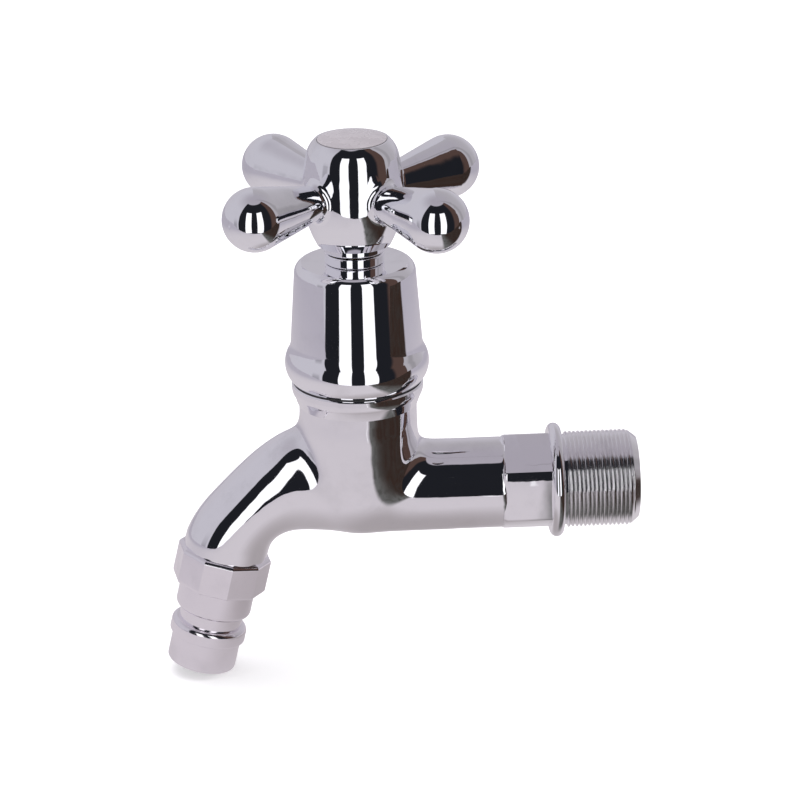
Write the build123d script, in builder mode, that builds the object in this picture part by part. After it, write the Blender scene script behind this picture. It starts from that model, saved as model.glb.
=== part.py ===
from build123d import *
import os
from math import ceil, cos, pi, radians, sin, sqrt, tan

os.makedirs("parts", exist_ok=True)

# Wall-mounted utility sink tap with a cross handle and a hose tail, in millimetres.
# The X axis is the axis of the inlet tube and points out of the pipe end.
# The origin is the outer face of the round collar that meets the wall plate.
# Heights are measured from the tube axis, and the barrel stands at barrel_x.

# Inlet: half-inch parallel pipe thread, collar, spanner hexagon and tube
thread_major_radius = 10.4775
thread_minor_radius = 9.3155
thread_pitch = 1.8143
thread_crest_width = 0.30
thread_crest_drop = 0.03
thread_root_gap = 0.30
thread_sink = 0.08
inlet_length = 16.4
inlet_band_length = 1.5
inlet_chamfer_length = 2.0
inlet_chamfer_depth = 1.6
collar_radius = 12.4
collar_width = 2.8
hex_across_flats = 19.1
hex_length = 10.6
hex_end_rounding = 1.2
hex_corner_rounding = 0.35
barrel_to_face = 43.8
tube_step = 2.8
inlet_bore_radius = 6.5

# Barrel of the casting, from its rounded foot up to the rim
barrel_wall = 2.45
foot_centre_height = 2.65
neck_height = 20.2
rim_top = 25.0
rim_flare = 1.45
rim_lip = 0.5
casting_fillet = 3.0

# Spout: an elbow about a bend centre under it, with a tall root at the barrel
spout_step = 0.7
spout_axis_radius = 14.8
spout_straight = 2.4
bend_reach = 14.6
bend_drop = 14.3
nozzle_tilt = 13.5
root_top = 14.1
elbow_waist = 1.9
root_step = 3.05
root_start_reach = 0.5

# Valve seat and water ways inside the casting
seat_height = 3.8
seat_lip_rise = 0.8
seat_lip_width = 1.8
chamber_step = 0.6
chamber_top = 14.0
throat_radius = 4.2
throat_drop = 3.8
throat_reach = 20.0
inlet_bore_reach = 18.0
spout_bore_radius = 5.0
spout_bore_height = 10.3
spout_bore_reach = 6.0
spout_bore_slope = 35.0
spout_bore_bend = 15.0

# Headwork: the brass cartridge that screws into the barrel
headwork_thread_radius = 10.2
headwork_thread_clearance = 0.10
headwork_nose = 14.5
headwork_skirt_wall = 1.9
headwork_skirt_depth = 4.0
headwork_hex_step = 0.4
headwork_hex_height = 8.0
headwork_hex_chamfer = 0.8
headwork_neck_radius = 8.0
headwork_neck_top = 41.0
headwork_top_radius = 7.2
headwork_top = 46.8
lift_zone_top = 31.0
lift_bore_top = 36.5
gland_box_floor = 40.0
gland_box_radius = 5.9
fibre_thickness = 1.0
fibre_rim = 1.5

# Spindle with its lifting thread
lift_pitch = 2.5
lift_core_radius = 4.9
lift_ridge_radius = 5.8
lift_ridge_base = 1.25
lift_ridge_crest = 0.65
lift_sink = 0.2
lift_clearance = 0.20
lift_thread_low = 19.0
lift_thread_length = 10.4
spindle_foot_radius = 4.6
stem_radius = 4.0
stem_clearance = 0.06
spindle_square = 5.5
square_length = 9.0
spindle_chamfer = 0.4

# Jumper valve, its rubber washer and its nut
tap_washer_inset = 0.7
tap_washer_thickness = 3.2
tap_washer_rounding = 0.5
jumper_plate_inset = 0.7
jumper_plate_thickness = 2.2
jumper_stem_radius = 2.8
jumper_stem_length = 14.0
jumper_stem_clearance = 0.15
jumper_tail_radius = 1.5
jumper_tail_clearance = 0.05
jumper_tail_end = 0.4
washer_nut_flats = 5.2
washer_nut_thickness = 1.8
thrust_gap = 0.05

# Gland: packing, brass washer and nut
packing_thickness = 3.8
gland_washer_thickness = 1.0
gland_clearance = 0.05
gland_nut_flats = 16.8
gland_nut_bottom = 42.0
gland_nut_chamfer = 0.6
gland_neck_radius = 5.0
gland_gap = 0.3
guide_clearance = 0.15

# Stem ring seal, sunk in the headwork
ring_seal_thickness = 1.7
ring_groove_share = 0.06
ring_groove_depth_gap = 0.1

# Bonnet cover, its seal ring and its round lock nut
seal_thickness = 0.45
seal_inset = 0.3
seal_width = 1.05
cover_wall = 1.2
cover_base_inset = 0.2
bulge_swell = 1.25
bulge_rise = 2.9
bulge_end_swell = 0.7
bulge_end_rise = 6.5
cone_inset = 0.05
cone_rise = 9.0
cone_bend_swell = 0.15
cone_bend_rise = 7.7
shoulder_inset = 1.15
shoulder_drop = 2.1
cover_top_inset = 2.7
cover_top = 51.8
cover_hole_clearance = 0.30
lock_nut_radius = 6.35
lock_nut_height = 2.2
lock_nut_edge = 0.35

# Cross handle
hub_rise = 2.0
arm_count = 4
arm_turn = 37.5
ball_reach = 26.6
ball_radius = 6.8
arm_taper = 11.7
hub_radius = 10.7
hub_bowl_height = 16.3
hub_bottom_drop = 11.0
hub_side_radius = 9.8
hub_side_rise = 8.4
hub_top_radius = 7.9
hub_top_rise = 11.7
skirt_radius = 6.75
skirt_gap = 0.4
skirt_edge = 0.35
handle_fillet = 1.6
bush_radius = 5.6
bush_clearance = 0.05
bush_height = 9.4
bush_inset = 1.0
square_clearance = 0.08
web_thickness = 2.4
web_hole_clearance = 0.15

# Index cap that closes the top of the hub
cap_recess_radius = 7.45
cap_recess_depth = 1.6
cap_clearance = 0.10
cap_dome = 0.9
cap_edge_rise = 0.1
cap_plug_radius = 6.3
cap_plug_length = 3.0
cap_plug_wall = 1.1

# Handle screw and its spring washer
screw_radius = 1.95
screw_head_radius = 3.5
screw_head_height = 2.2
screw_head_rounding = 0.6
screw_length = 9.0
screw_clearance = 0.08
screw_slot_width = 0.9
screw_slot_depth = 0.9
screw_washer_radius = 4.2
screw_washer_thickness = 0.6

# Hose tail, held to the spout by a faceted coupling nut
nut_facets = 10
nut_wall = 0.85
nut_turn = 9.0
nut_height = 8.2
nut_edge = 0.9
nut_lip = 1.6
nut_clearance = 0.08
spigot_step = 0.2
spigot_length = 3.5
tail_washer_thickness = 1.5
tail_flange_inset = 0.15
tail_step_inset = 0.55
tail_step_end = 14.4
tail_step_rounding = 1.25
tail_neck_inset = 1.35
tail_neck_end = 17.1
tail_ring_swell = 0.05
tail_ring_end = 20.7
tail_ring_rounding = 1.2
tail_ring_foot = 0.6
tail_end_inset = 0.75
tail_end = 27.2
tail_end_rounding = 0.8
tail_wall = 1.9

# Face clearance between stacked pieces, and the overrun of every cut that passes a face
face_gap = 0.05
overrun = 1.0

# How closely a round edge has to match a named radius to be chosen by it
rim_match_share = 0.0005

# Radii that follow from the headwork's thread, outwards through the barrel to the spout
barrel_radius = headwork_thread_radius + barrel_wall
rim_radius = barrel_radius + rim_flare
tube_radius = barrel_radius - tube_step
root_start_radius = barrel_radius - root_step
spout_radius = tube_radius - spout_step
spigot_radius = spout_radius - spigot_step
nut_flats = 2 * (spigot_radius + nut_wall)
tail_flange_radius = spigot_radius - tail_flange_inset
tail_step_radius = tail_flange_radius - tail_step_inset
tail_neck_radius = tail_step_radius - tail_neck_inset
tail_ring_radius = tail_step_radius + tail_ring_swell
tail_end_radius = tail_step_radius - tail_end_inset
tail_bore_radius = tail_end_radius - tail_wall

# Radii inside the barrel
chamber_radius = headwork_thread_radius - chamber_step
headwork_skirt_radius = headwork_thread_radius - headwork_skirt_wall
headwork_hex_flats = 2 * (headwork_thread_radius + headwork_hex_step)
fibre_radius = headwork_thread_radius + fibre_rim
jumper_plate_radius = headwork_skirt_radius - jumper_plate_inset
tap_washer_radius = jumper_plate_radius - tap_washer_inset
seat_lip_radius = throat_radius + seat_lip_width

# Radii of the cover and its seal, from the barrel's rim
seal_outer_radius = rim_radius - seal_inset
seal_inner_radius = seal_outer_radius - seal_width
cover_base_radius = rim_radius - cover_base_inset
bulge_radius = rim_radius + bulge_swell
bulge_end_radius = rim_radius + bulge_end_swell
cone_bend_radius = rim_radius + cone_bend_swell
cone_radius = rim_radius - cone_inset
shoulder_radius = rim_radius - shoulder_inset
cover_top_radius = rim_radius - cover_top_inset

# Frames of reference
barrel_x = -barrel_to_face
barrel_axis = Axis((barrel_x, 0, 0), (0, 0, 1))
barrel_section = Plane(origin=(barrel_x, 0, 0), x_dir=(1, 0, 0), z_dir=(0, -1, 0))
nozzle_dir = Vector(-sin(radians(nozzle_tilt)), 0, -cos(radians(nozzle_tilt)))
nozzle_side = Vector(cos(radians(nozzle_tilt)), 0, -sin(radians(nozzle_tilt)))
bend_centre = Vector(barrel_x - bend_reach, 0, -bend_drop)
nozzle_origin = bend_centre - nozzle_side * spout_axis_radius + nozzle_dir * spout_straight
nozzle_axis = Axis(nozzle_origin, nozzle_dir)
nozzle_section = Plane(origin=nozzle_origin, x_dir=nozzle_side, z_dir=(0, 1, 0))


def barrel_level(height):
    """Level plane centred on the barrel axis."""
    return Plane(origin=(barrel_x, 0, height))


def tube_station(distance):
    """Plane square to the tube axis, at a distance from the barrel axis."""
    return Plane(origin=(barrel_x + distance, 0, 0), x_dir=(0, 1, 0), z_dir=(1, 0, 0))


def nozzle_station(distance):
    """Plane square to the nozzle axis, at a distance below the spout's end face."""
    return Plane(origin=nozzle_origin + nozzle_dir * distance, x_dir=nozzle_side, z_dir=nozzle_dir)


def elbow_station(share, low_radius, high_radius):
    """Plane across the elbow at a share of its turn, centred between two radii of the bend."""
    angle = radians((90 - nozzle_tilt) * share)
    out = Vector(-sin(angle), 0, cos(angle))
    along = Vector(-cos(angle), 0, -sin(angle))
    return Plane(origin=bend_centre + out * (low_radius + high_radius) / 2, x_dir=out, z_dir=along)


def crossing(first, first_dir, second, second_dir):
    """Point where two lines of a section plane cross."""
    gap = second - first
    turn = first_dir.X * second_dir.Y - first_dir.Y * second_dir.X
    return first + first_dir * ((gap.X * second_dir.Y - gap.Y * second_dir.X) / turn)


def rims(builder, radius):
    """Round edges of a piece that have a given radius."""
    circles = builder.edges().filter_by(GeomType.CIRCLE)
    return circles.filter_by(lambda edge: abs(edge.radius - radius) < radius * rim_match_share)


def save(builder, name):
    """Label a finished piece and write it as its own file."""
    builder.part.label = name
    export_step(builder.part, f"parts/{name}.step")


# Casting skin, barrel: rounded foot, straight wall and flared rim
rim_height = rim_top - neck_height
flare_middle_share = (0.72, 0.45)
with BuildPart() as barrel_skin:
    with BuildSketch(barrel_section):
        with BuildLine():
            foot = JernArc((0, foot_centre_height - barrel_radius), (1, 0), barrel_radius, 90)
            wall = Line(foot @ 1, (barrel_radius, neck_height))
            flare_middle = (
                barrel_radius + rim_flare * flare_middle_share[0],
                neck_height + rim_height * flare_middle_share[1],
            )
            flare = ThreePointArc(wall @ 1, flare_middle, (rim_radius, rim_top - rim_lip))
            Polyline(flare @ 1, (rim_radius, rim_top), (0, rim_top), foot @ 0)
        make_face()
    revolve(axis=barrel_axis)

# Casting skin, spout: ellipses that turn about the bend centre and shrink to a round tube
elbow_low = spout_axis_radius - spout_radius
elbow_high = spout_axis_radius + spout_radius
root_bottom = bend_drop - elbow_low
root_extra = root_top + bend_drop - elbow_high
root_middle_share = 0.5
root_end_share = 0.7
root_rise_share = 0.68
elbow_shares = [0.0, 0.2, 0.4, 0.6, 0.8, 1.0]
with BuildPart() as spout_skin:
    root_plane = Plane(origin=(barrel_x - root_start_reach, 0, 0), x_dir=(0, 0, 1), z_dir=(-1, 0, 0))
    with BuildSketch(root_plane):
        Circle(root_start_radius)
    middle_top = root_start_radius + (root_top - root_start_radius) * root_rise_share
    middle_bottom = (root_start_radius + root_bottom) / 2
    middle_width = (root_start_radius + spout_radius) / 2
    middle_plane = Plane(
        origin=(barrel_x - bend_reach * root_middle_share, 0, (middle_top - middle_bottom) / 2),
        x_dir=(0, 0, 1),
        z_dir=(-1, 0, 0),
    )
    with BuildSketch(middle_plane):
        Ellipse((middle_top + middle_bottom) / 2, middle_width)
    for share in elbow_shares:
        fade = max(0.0, 1 - share / root_end_share) ** 2
        high = elbow_high + root_extra * fade - elbow_waist * sin(pi * share)
        with BuildSketch(elbow_station(share, elbow_low, high)):
            Ellipse((high - elbow_low) / 2, spout_radius)
    with BuildSketch(Plane(origin=nozzle_origin, x_dir=-nozzle_side, z_dir=nozzle_dir)):
        Circle(spout_radius)
    loft()

# Spanner hexagon, with corners up and down and its inner end rounded
hex_start = barrel_to_face - collar_width - hex_length
with BuildPart() as spanner_hex:
    with BuildSketch(tube_station(hex_start)):
        RegularPolygon(hex_across_flats / 2, 6, major_radius=False, rotation=90)
    extrude(amount=hex_length + collar_width / 2)
    fillet(spanner_hex.edges().filter_by(Axis.X), hex_corner_rounding)
    fillet(spanner_hex.faces().sort_by(Axis.X)[0].edges(), hex_end_rounding)

# Helical ridge of the pipe thread, from inside the plain band to well past the pipe end
ridge_start = inlet_band_length / 2
ridge_base = thread_pitch - thread_root_gap
ridge_run_share = 0.96
core_run_share = 3
ridge_turns = ceil((inlet_length - ridge_start) / thread_pitch) + ridge_run_share
core_run = core_run_share * thread_pitch
with BuildPart() as inlet_ridge:
    with BuildLine():
        inlet_helix = Helix(
            thread_pitch,
            ridge_turns * thread_pitch,
            thread_minor_radius,
            center=(ridge_start, 0, 0),
            direction=(1, 0, 0),
        )
    helix_start = inlet_helix @ 0
    radial = Vector(0, helix_start.Y, helix_start.Z).normalized()
    with BuildSketch(Plane(origin=helix_start, x_dir=radial, z_dir=inlet_helix % 0)):
        with BuildLine():
            tooth_height = thread_major_radius - thread_minor_radius - thread_crest_drop
            Polyline(
                (-thread_sink, -ridge_base / 2),
                (0, -ridge_base / 2),
                (tooth_height, -thread_crest_width / 2),
                (tooth_height, thread_crest_width / 2),
                (0, ridge_base / 2),
                (-thread_sink, ridge_base / 2),
                close=True,
            )
        make_face()
    sweep(path=inlet_helix, is_frenet=True)

# Pipe end: collar, plain band, threaded core and end chamfer
with BuildPart() as inlet_end:
    with BuildSketch(tube_station(barrel_to_face - collar_width)):
        Circle(collar_radius)
    extrude(amount=collar_width)
    fillet(inlet_end.edges().filter_by(GeomType.CIRCLE), collar_width / 2 - face_gap)
    with BuildSketch(tube_station(barrel_to_face - collar_width / 2)):
        Circle(thread_minor_radius)
    extrude(amount=inlet_length + core_run + collar_width / 2)
    with BuildSketch(tube_station(barrel_to_face)):
        Circle(thread_major_radius)
    extrude(amount=inlet_band_length)
    add(inlet_ridge.part)
    with BuildSketch(Plane.XZ):
        with BuildLine():
            chamfer_radius = thread_major_radius - inlet_chamfer_depth
            outside = thread_major_radius + overrun
            slope = inlet_chamfer_depth / inlet_chamfer_length
            Polyline(
                (inlet_length, chamfer_radius),
                (inlet_length - (outside - chamfer_radius) / slope, outside),
                (inlet_length + core_run + overrun, outside),
                (inlet_length + core_run + overrun, 0),
                (inlet_length, 0),
                close=True,
            )
        make_face()
    revolve(axis=Axis.X, mode=Mode.SUBTRACT)

# Centre line of the spout's water way, in the barrel's section plane
way_start = Vector(-spout_bore_reach, spout_bore_height)
way_dir = Vector(-cos(radians(spout_bore_slope)), -sin(radians(spout_bore_slope)))
nozzle_local = Vector(nozzle_origin.X - barrel_x, nozzle_origin.Z)
nozzle_local_dir = Vector(nozzle_dir.X, nozzle_dir.Z)
way_corner = crossing(way_start, way_dir, nozzle_local, nozzle_local_dir)
way_end = nozzle_local + nozzle_local_dir * (spigot_length + overrun)
way_points = [(point.X, point.Y) for point in (way_start, way_corner, way_end)]

seam_reach_share = 1.2

# Tap body: the whole chromed casting with its water ways and valve seat
with BuildPart() as tap_body:
    add(barrel_skin.part)
    with BuildSketch(tube_station(0)):
        Circle(tube_radius)
    extrude(amount=hex_start + overrun)
    add(spout_skin.part)
    seams = tap_body.edges().filter_by(GeomType.BSPLINE)
    seam_limit = barrel_x - barrel_radius * seam_reach_share
    fillet(seams.filter_by(lambda edge: edge.bounding_box().min.X > seam_limit), casting_fillet)
    add(spanner_hex.part)
    add(inlet_end.part)
    with BuildSketch(nozzle_station(-overrun)):
        Circle(spigot_radius)
    extrude(amount=spigot_length + overrun)
    # Inlet way: a straight bore, then a narrow throat that dips under the seat
    with BuildSketch(tube_station(inlet_bore_reach)):
        Circle(inlet_bore_radius)
    extrude(amount=barrel_to_face + inlet_length, mode=Mode.SUBTRACT)
    with BuildLine():
        throat_line = Line((barrel_x + throat_reach, 0, 0), (barrel_x, 0, -throat_drop))
    with BuildSketch(Plane(origin=throat_line @ 0, z_dir=throat_line % 0)):
        Circle(throat_radius)
    sweep(path=throat_line, mode=Mode.SUBTRACT)
    with Locations((barrel_x, 0, -throat_drop)):
        Sphere(throat_radius, mode=Mode.SUBTRACT)
    # Seat hole, upper chamber round the seat lip, and the threaded mouth of the barrel
    with BuildSketch(barrel_level(-throat_drop)):
        Circle(throat_radius)
    extrude(amount=throat_drop + seat_height + overrun, mode=Mode.SUBTRACT)
    with BuildSketch(barrel_level(seat_height - seat_lip_rise)):
        Circle(chamber_radius)
        Circle(seat_lip_radius, mode=Mode.SUBTRACT)
    extrude(amount=seat_lip_rise, mode=Mode.SUBTRACT)
    with BuildSketch(barrel_level(seat_height)):
        Circle(chamber_radius)
    extrude(amount=chamber_top - seat_height, mode=Mode.SUBTRACT)
    with BuildSketch(barrel_level(chamber_top)):
        Circle(headwork_thread_radius + headwork_thread_clearance)
    extrude(amount=rim_top - chamber_top + overrun, mode=Mode.SUBTRACT)
    # Spout way: down from the chamber and round the elbow to the hose tail
    with BuildLine(barrel_section):
        spout_way = FilletPolyline(*way_points, radius=spout_bore_bend)
    with BuildSketch(Plane(origin=spout_way @ 0, z_dir=spout_way % 0)):
        Circle(spout_bore_radius)
    sweep(path=spout_way, mode=Mode.SUBTRACT)
save(tap_body, "tap_body")

# Stack of heights inside the barrel, from the seat upwards
washer_top = seat_height + tap_washer_thickness
plate_top = washer_top + jumper_plate_thickness
fibre_top = rim_top + fibre_thickness
hex_top = fibre_top + headwork_hex_height
lift_zone_bottom = headwork_nose + headwork_skirt_depth
packing_top = gland_box_floor + packing_thickness
gland_washer_top = packing_top + gland_washer_thickness
gland_shoulder = cover_top - cover_wall - gland_gap
lock_nut_bottom = cover_top + face_gap
lock_nut_top = lock_nut_bottom + lock_nut_height
gland_neck_top = lock_nut_top - lock_nut_edge
running_radius = stem_radius + stem_clearance
guide_radius = stem_radius + guide_clearance
ring_seal_height = (lift_bore_top + gland_box_floor) / 2
arm_height = lock_nut_top + hub_rise + hub_bottom_drop

# Rubber tap washer that closes the seat
with BuildPart() as tap_washer:
    with BuildSketch(barrel_level(seat_height)):
        Circle(tap_washer_radius)
        Circle(jumper_tail_radius + jumper_tail_clearance, mode=Mode.SUBTRACT)
    extrude(amount=tap_washer_thickness)
    fillet(rims(tap_washer, tap_washer_radius), tap_washer_rounding)
save(tap_washer, "tap_washer")

# Jumper valve: plate, guide stem above it and threaded tail below it
with BuildPart() as jumper_valve:
    with BuildSketch(barrel_level(washer_top)):
        Circle(jumper_plate_radius)
    extrude(amount=jumper_plate_thickness)
    chamfer(rims(jumper_valve, jumper_plate_radius), spindle_chamfer)
    with BuildSketch(barrel_level(plate_top)):
        Circle(jumper_stem_radius)
    extrude(amount=jumper_stem_length)
    chamfer(rims(jumper_valve, jumper_stem_radius).sort_by(Axis.Z)[-1], spindle_chamfer)
    with BuildSketch(barrel_level(washer_top)):
        Circle(jumper_tail_radius)
    extrude(amount=-(tap_washer_thickness + washer_nut_thickness + jumper_tail_end))
save(jumper_valve, "jumper_valve")

# Small brass nut that holds the rubber washer on the jumper valve
with BuildPart() as washer_nut:
    with BuildSketch(barrel_level(seat_height)):
        RegularPolygon(washer_nut_flats / 2, 6, major_radius=False)
        Circle(jumper_tail_radius + jumper_tail_clearance, mode=Mode.SUBTRACT)
    extrude(amount=-washer_nut_thickness)
save(washer_nut, "washer_nut")


def lift_ridge(low, high, extra):
    """Helical ridge of the lifting thread between two heights, in step with the spindle's."""
    with BuildPart(mode=Mode.PRIVATE) as ridge:
        with BuildLine():
            helix = Helix(lift_pitch, high - low, lift_core_radius, center=(barrel_x, 0, low))
        start = helix @ 0
        with BuildSketch(Plane(origin=start, x_dir=(1, 0, 0), z_dir=helix % 0)):
            with BuildLine():
                Polyline(
                    (-lift_sink, -lift_ridge_base / 2 - extra),
                    (0, -lift_ridge_base / 2 - extra),
                    (lift_ridge_radius - lift_core_radius + extra, -lift_ridge_crest / 2 - extra),
                    (lift_ridge_radius - lift_core_radius + extra, lift_ridge_crest / 2 + extra),
                    (0, lift_ridge_base / 2 + extra),
                    (-lift_sink, lift_ridge_base / 2 + extra),
                    close=True,
                )
            make_face()
        sweep(path=helix, is_frenet=True)
    return ridge.part


# Spindle: foot that bears on the jumper valve, lifting thread, stem and square
lift_thread_high = lift_thread_low + lift_thread_length
core_top = lift_thread_high + lift_ridge_base / 2
shoulder_height = arm_height - hub_bottom_drop + bush_inset
spindle_top = shoulder_height + square_length
spindle_ridge = lift_ridge(lift_thread_low, lift_thread_high, 0)
with BuildPart() as spindle:
    with BuildSketch(barrel_level(plate_top + thrust_gap)):
        Circle(spindle_foot_radius)
    extrude(amount=lift_thread_low - lift_ridge_base - plate_top)
    with BuildSketch(barrel_level(lift_thread_low - lift_ridge_base)):
        Circle(lift_core_radius)
    extrude(amount=core_top - lift_thread_low + lift_ridge_base)
    add(spindle_ridge)
    with BuildSketch(barrel_level(core_top)):
        Circle(stem_radius)
    extrude(amount=shoulder_height - core_top)
    with BuildSketch(barrel_level(shoulder_height)):
        Rectangle(spindle_square, spindle_square)
    extrude(amount=square_length)
    chamfer(spindle.faces().sort_by(Axis.Z)[-1].edges(), spindle_chamfer)
    with BuildSketch(barrel_level(plate_top)):
        Circle(jumper_stem_radius + jumper_stem_clearance)
    extrude(amount=jumper_stem_length + jumper_stem_clearance * 2, mode=Mode.SUBTRACT)
    with BuildSketch(barrel_level(spindle_top)):
        Circle(screw_radius + screw_clearance)
    extrude(amount=-screw_length, mode=Mode.SUBTRACT)
save(spindle, "spindle")

# Headwork body: threaded shank, hexagon, neck and gland box, with the internal lifting thread
groove_turns = ceil((lift_thread_low - lift_zone_bottom) / lift_pitch) + 1
groove_low = lift_thread_low - groove_turns * lift_pitch
lift_groove = lift_ridge(groove_low, lift_zone_top + lift_pitch, lift_clearance)
groove_radius = lift_ridge_radius + lift_clearance
with BuildPart() as lift_cutter:
    with BuildSketch(barrel_level(lift_zone_bottom - overrun)):
        Circle(lift_core_radius + lift_clearance)
    extrude(amount=lift_zone_top - lift_zone_bottom + overrun * 2)
    add(lift_groove)
with BuildPart() as headwork_body:
    with BuildSketch(barrel_level(headwork_nose)):
        Circle(headwork_thread_radius)
    extrude(amount=fibre_top - headwork_nose)
    with BuildSketch(barrel_level(fibre_top)):
        RegularPolygon(headwork_hex_flats / 2, 6, major_radius=False)
    extrude(amount=headwork_hex_height)
    chamfer(headwork_body.faces().sort_by(Axis.Z)[-1].edges(), headwork_hex_chamfer)
    with BuildSketch(barrel_level(hex_top - overrun)):
        Circle(headwork_neck_radius)
    extrude(amount=headwork_neck_top - hex_top + overrun)
    with BuildSketch(barrel_level(headwork_neck_top)):
        Circle(headwork_top_radius)
    extrude(amount=headwork_top - headwork_neck_top)
    add(lift_cutter.part, mode=Mode.SUBTRACT)
    with BuildSketch(barrel_level(headwork_nose)):
        Circle(headwork_skirt_radius)
    extrude(amount=headwork_skirt_depth, mode=Mode.SUBTRACT)
    with BuildSketch(barrel_level(lift_zone_top)):
        Circle(groove_radius + lift_clearance)
    extrude(amount=lift_bore_top - lift_zone_top, mode=Mode.SUBTRACT)
    with BuildSketch(barrel_level(lift_bore_top)):
        Circle(running_radius)
    extrude(amount=gland_box_floor - lift_bore_top, mode=Mode.SUBTRACT)
    with BuildSketch(barrel_level(gland_box_floor)):
        Circle(gland_box_radius)
    extrude(amount=headwork_top - gland_box_floor, mode=Mode.SUBTRACT)
    ring_groove_height = ring_seal_thickness * (1 + ring_groove_share)
    with BuildSketch(barrel_level(ring_seal_height - ring_groove_height / 2)):
        Circle(running_radius + ring_seal_thickness + ring_groove_depth_gap)
    extrude(amount=ring_groove_height, mode=Mode.SUBTRACT)
save(headwork_body, "headwork_body")

# Fibre washer under the headwork's hexagon
with BuildPart() as headwork_washer:
    with BuildSketch(barrel_level(rim_top)):
        Circle(fibre_radius)
        Circle(headwork_thread_radius + headwork_thread_clearance, mode=Mode.SUBTRACT)
    extrude(amount=fibre_thickness)
save(headwork_washer, "headwork_washer")

# Rubber ring that seals the stem
with BuildPart() as stem_ring_seal:
    with Locations((barrel_x, 0, ring_seal_height)):
        Torus(running_radius + ring_seal_thickness / 2, ring_seal_thickness / 2)
save(stem_ring_seal, "stem_ring_seal")

# Packing and brass washer in the gland box
for name, low, thickness in [
    ("gland_packing", gland_box_floor, packing_thickness),
    ("gland_washer", packing_top, gland_washer_thickness),
]:
    with BuildPart() as gland_ring:
        with BuildSketch(barrel_level(low)):
            Circle(gland_box_radius - gland_clearance)
            Circle(running_radius, mode=Mode.SUBTRACT)
        extrude(amount=thickness)
    save(gland_ring, name)

# Gland nut: hexagon with an inner nose, and a threaded neck that passes through the cover
gland_bore_top = headwork_top + gland_gap
with BuildPart() as gland_nut:
    with BuildSketch(barrel_level(gland_nut_bottom)):
        RegularPolygon(gland_nut_flats / 2, 6, major_radius=False)
    extrude(amount=gland_shoulder - gland_nut_bottom)
    chamfer(gland_nut.faces().sort_by(Axis.Z)[-1].edges(), gland_nut_chamfer)
    with BuildSketch(barrel_level(gland_nut_bottom)):
        Circle(headwork_top_radius + headwork_thread_clearance)
    extrude(amount=gland_bore_top - gland_nut_bottom, mode=Mode.SUBTRACT)
    with BuildSketch(barrel_level(gland_washer_top)):
        Circle(gland_box_radius - gland_clearance * 2)
    extrude(amount=gland_shoulder - gland_washer_top)
    with BuildSketch(barrel_level(gland_shoulder)):
        Circle(gland_neck_radius)
    extrude(amount=gland_neck_top - gland_shoulder)
    with BuildSketch(barrel_level(gland_nut_bottom)):
        Circle(guide_radius)
    extrude(amount=gland_neck_top - gland_nut_bottom, mode=Mode.SUBTRACT)
save(gland_nut, "gland_nut")

# Thin black ring between the barrel's rim and the cover
with BuildPart() as cover_seal_ring:
    with BuildSketch(barrel_level(rim_top)):
        Circle(seal_outer_radius)
        Circle(seal_inner_radius, mode=Mode.SUBTRACT)
    extrude(amount=seal_thickness)
save(cover_seal_ring, "cover_seal_ring")

# Bonnet cover: a thin bell with a swollen base, a slight taper and a rounded shoulder
cover_base = rim_top + seal_thickness + face_gap
with BuildPart() as bonnet_cover:
    with BuildSketch(barrel_section):
        with BuildLine():
            bulge = ThreePointArc(
                (cover_base_radius, cover_base),
                (bulge_radius, cover_base + bulge_rise),
                (bulge_end_radius, cover_base + bulge_end_rise),
            )
            bend = ThreePointArc(
                bulge @ 1,
                (cone_bend_radius, cover_base + cone_bend_rise),
                (cone_radius, cover_base + cone_rise),
            )
            cone = Line(bend @ 1, (shoulder_radius, cover_top - shoulder_drop))
            shoulder = TangentArc(cone @ 1, (cover_top_radius, cover_top), tangent=cone % 1)
            Polyline(shoulder @ 1, (0, cover_top), (0, cover_base), bulge @ 0)
        make_face()
    revolve(axis=barrel_axis)
    offset(amount=-cover_wall, openings=bonnet_cover.faces().sort_by(Axis.Z)[0])
    with BuildSketch(barrel_level(cover_top + overrun)):
        Circle(gland_neck_radius + cover_hole_clearance)
    extrude(amount=-(cover_wall + 2 * overrun), mode=Mode.SUBTRACT)
save(bonnet_cover, "bonnet_cover")

# Round nut that holds the cover down
with BuildPart() as cover_lock_nut:
    with BuildSketch(barrel_level(lock_nut_bottom)):
        Circle(lock_nut_radius)
        Circle(gland_neck_radius + gland_clearance, mode=Mode.SUBTRACT)
    extrude(amount=lock_nut_height)
    fillet(rims(cover_lock_nut, lock_nut_radius), lock_nut_edge)
save(cover_lock_nut, "cover_lock_nut")

# One arm of the handle: a slim cone that grows into a ball, lying along X
taper = radians(arm_taper)
touch_reach = ball_reach - ball_radius * sin(taper)
touch_radius = ball_radius * cos(taper)
root_radius = touch_radius - touch_reach * tan(taper)
with BuildPart() as handle_arm:
    with BuildSketch(Plane.XZ):
        with BuildLine():
            side = Line((0, root_radius), (touch_reach, touch_radius))
            ball = TangentArc(side @ 1, (ball_reach + ball_radius, 0), tangent=side % 1)
            Polyline(ball @ 1, (0, 0), side @ 0)
        make_face()
    revolve(axis=Axis.X)

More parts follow.
